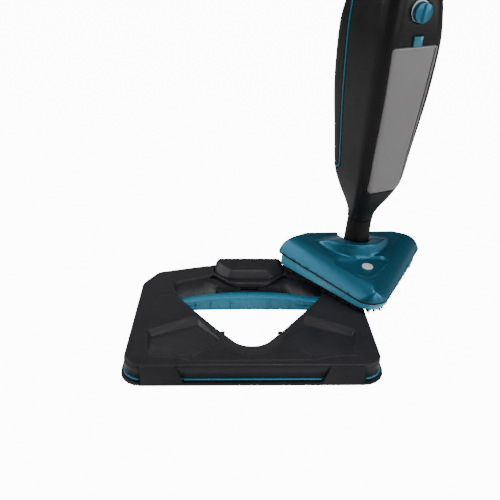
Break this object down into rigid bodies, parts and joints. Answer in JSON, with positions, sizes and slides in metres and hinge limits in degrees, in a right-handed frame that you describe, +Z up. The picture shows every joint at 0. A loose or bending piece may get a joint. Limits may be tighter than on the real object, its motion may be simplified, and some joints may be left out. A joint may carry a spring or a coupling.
{
  "type": "steam mop",
  "caption": "Upright steam mop with a triangular teal head, hinged neck, slim tank body and loop grip, standing on a black floor frame with a foot pedal.",
  "frame": {"origin": "on the floor, under the middle of the floor frame's front rail, 20 mm behind its front edge", "axes": "+Z up; +X to the right across the floor frame, seen from its front; +Y from the frame's front rail towards its pedal"},
  "size_m": [0.5603, 0.4005, 1.1774],
  "materials": {
    "frame_black": "fine satin moulded grain",
    "frame_teal": "smooth satin gloss",
    "head_pearl_teal": "pearl metallic gloss",
    "side_teal": "smooth satin gloss",
    "body_black": "gloss",
    "tank_grey": "smoky translucent",
    "piping_teal": "satin",
    "sole_rubber": "matte",
    "brush_black": "fibrous matte",
    "steel": "fine brushed",
    "boiler_metal": "cast satin",
    "silver_trim": "satin chrome",
    "tube_silver": "anodised satin",
    "inner_black": "plain moulded",
    "valve_brass": "machined",
    "hose_rubber": "matte",
    "board_green": "solder mask",
    "lens_clear": "clear tinted"
  },
  "bodies": {
    "floor_frame": {"frame_base_ring": "frame_black", "frame_tray": "frame_teal", "frame_top_shell": "frame_black", "frame_rear_wall": "frame_black", "pedal_pin": "steel", "latch_spring": "steel"},
    "pedal": {"release_pedal": "frame_black"},
    "latch": {"frame_latch": "frame_black"},
    "mop_head": {"sole_plate": "sole_rubber", "brush_ring": "brush_black", "head_side_wall": "side_teal", "head_cover": "head_pearl_teal", "head_badge": "silver_trim", "pivot_bracket": "inner_black", "pivot_pin": "steel", "steam_manifold": "inner_black", "hook_strip_left": "hose_rubber", "hook_strip_right": "hose_rubber", "hook_strip_front": "hose_rubber"},
    "neck": {"neck_tube": "body_black", "swivel_bush": "steel", "neck_hose": "hose_rubber"},
    "body": {"body_shell": "body_black", "rear_panel": "body_black", "rear_piping": "piping_teal", "dial_base": "silver_trim", "boiler": "boiler_metal", "pump": "inner_black", "circuit_board": "board_green", "boiler_hose": "hose_rubber", "handle_tube": "tube_silver", "grip_left": "body_black", "grip_right": "body_black", "trigger_switch": "inner_black", "trigger_pin": "steel", "hook_clamp": "body_black", "cord_hook_lower": "body_black", "cable_gland": "hose_rubber", "lamp_lens": "lens_clear"},
    "tank": {"water_tank": "tank_grey", "tank_valve": "valve_brass"},
    "cap": {"tank_cap": "inner_black"},
    "dial": {"steam_dial": "head_pearl_teal"},
    "power": {"power_button": "piping_teal"},
    "tank_release": {"tank_release_button": "piping_teal"},
    "trigger": {"steam_trigger": "piping_teal"},
    "upper_hook": {"cord_hook_upper": "body_black"}
  },
  "joints": [
    {"name": "pedal_press", "type": "hinge", "parent": "floor_frame", "child": "pedal", "pos_m": [0, 0.255, 0.0365], "axis": [-1, 0, 0], "range_deg": [0, 5], "stiffness_Nm_per_rad": 2, "springref_deg": -1.72},
    {"name": "latch_slide", "type": "slide", "parent": "floor_frame", "child": "latch", "axis": [0, 1, 0], "range_m": [0, 0.005], "stiffness_N_per_m": 100, "springref_m": -0.003, "deforming": ["latch_spring"]},
    {"name": "mop_lift", "type": "slide", "parent": "floor_frame", "child": "mop_head", "axis": [0, 0, 1], "range_m": [0, 0.3]},
    {"name": "neck_recline", "type": "hinge", "parent": "mop_head", "child": "neck", "pos_m": [0.20108, 0.27143, 0.08797], "axis": [-0.9853, -0.1561, 0.0698], "range_deg": [0, 78]},
    {"name": "body_swivel", "type": "hinge", "parent": "neck", "child": "body", "pos_m": [0.20625, 0.27225, 0.16279], "axis": [0.0689, 0.0109, 0.9976], "range_deg": [-75, 45]},
    {"name": "tank_slide", "type": "slide", "parent": "body", "child": "tank", "axis": [0.4377, -0.8989, -0.0204], "range_m": [0, 0.12]},
    {"name": "cap_turn", "type": "hinge", "parent": "tank", "child": "cap", "pos_m": [0.25137, 0.23292, 0.51096], "axis": [0.0689, 0.0109, 0.9976], "range_deg": [0, 90]},
    {"name": "dial_turn", "type": "hinge", "parent": "body", "child": "dial", "pos_m": [0.265, 0.21377, 0.56837], "axis": [-0.4377, 0.8989, 0.0204], "range_deg": [-60, 60]},
    {"name": "power_press", "type": "slide", "parent": "body", "child": "power", "axis": [-0.4377, 0.8989, 0.0204], "range_m": [0, 0.0025], "stiffness_N_per_m": 300, "springref_m": -0.001},
    {"name": "tank_release_press", "type": "slide", "parent": "body", "child": "tank_release", "axis": [-0.4377, 0.8989, 0.0204], "range_m": [0, 0.0025], "stiffness_N_per_m": 300, "springref_m": -0.001},
    {"name": "trigger_pull", "type": "hinge", "parent": "body", "child": "trigger", "pos_m": [0.26133, 0.31001, 1.15099], "axis": [0.8965, 0.438, -0.0667], "range_deg": [0, 8], "stiffness_Nm_per_rad": 0.3, "springref_deg": -2.86},
    {"name": "upper_hook_turn", "type": "hinge", "parent": "body", "child": "upper_hook", "pos_m": [0.25174, 0.30075, 0.96129], "axis": [-0.4377, 0.8989, 0.0204], "range_deg": [0, 180]}
  ],
  "couplings": [
    {"joint": "latch_slide", "follows": "pedal_press", "m_per_rad": 0.0572}
  ]
}
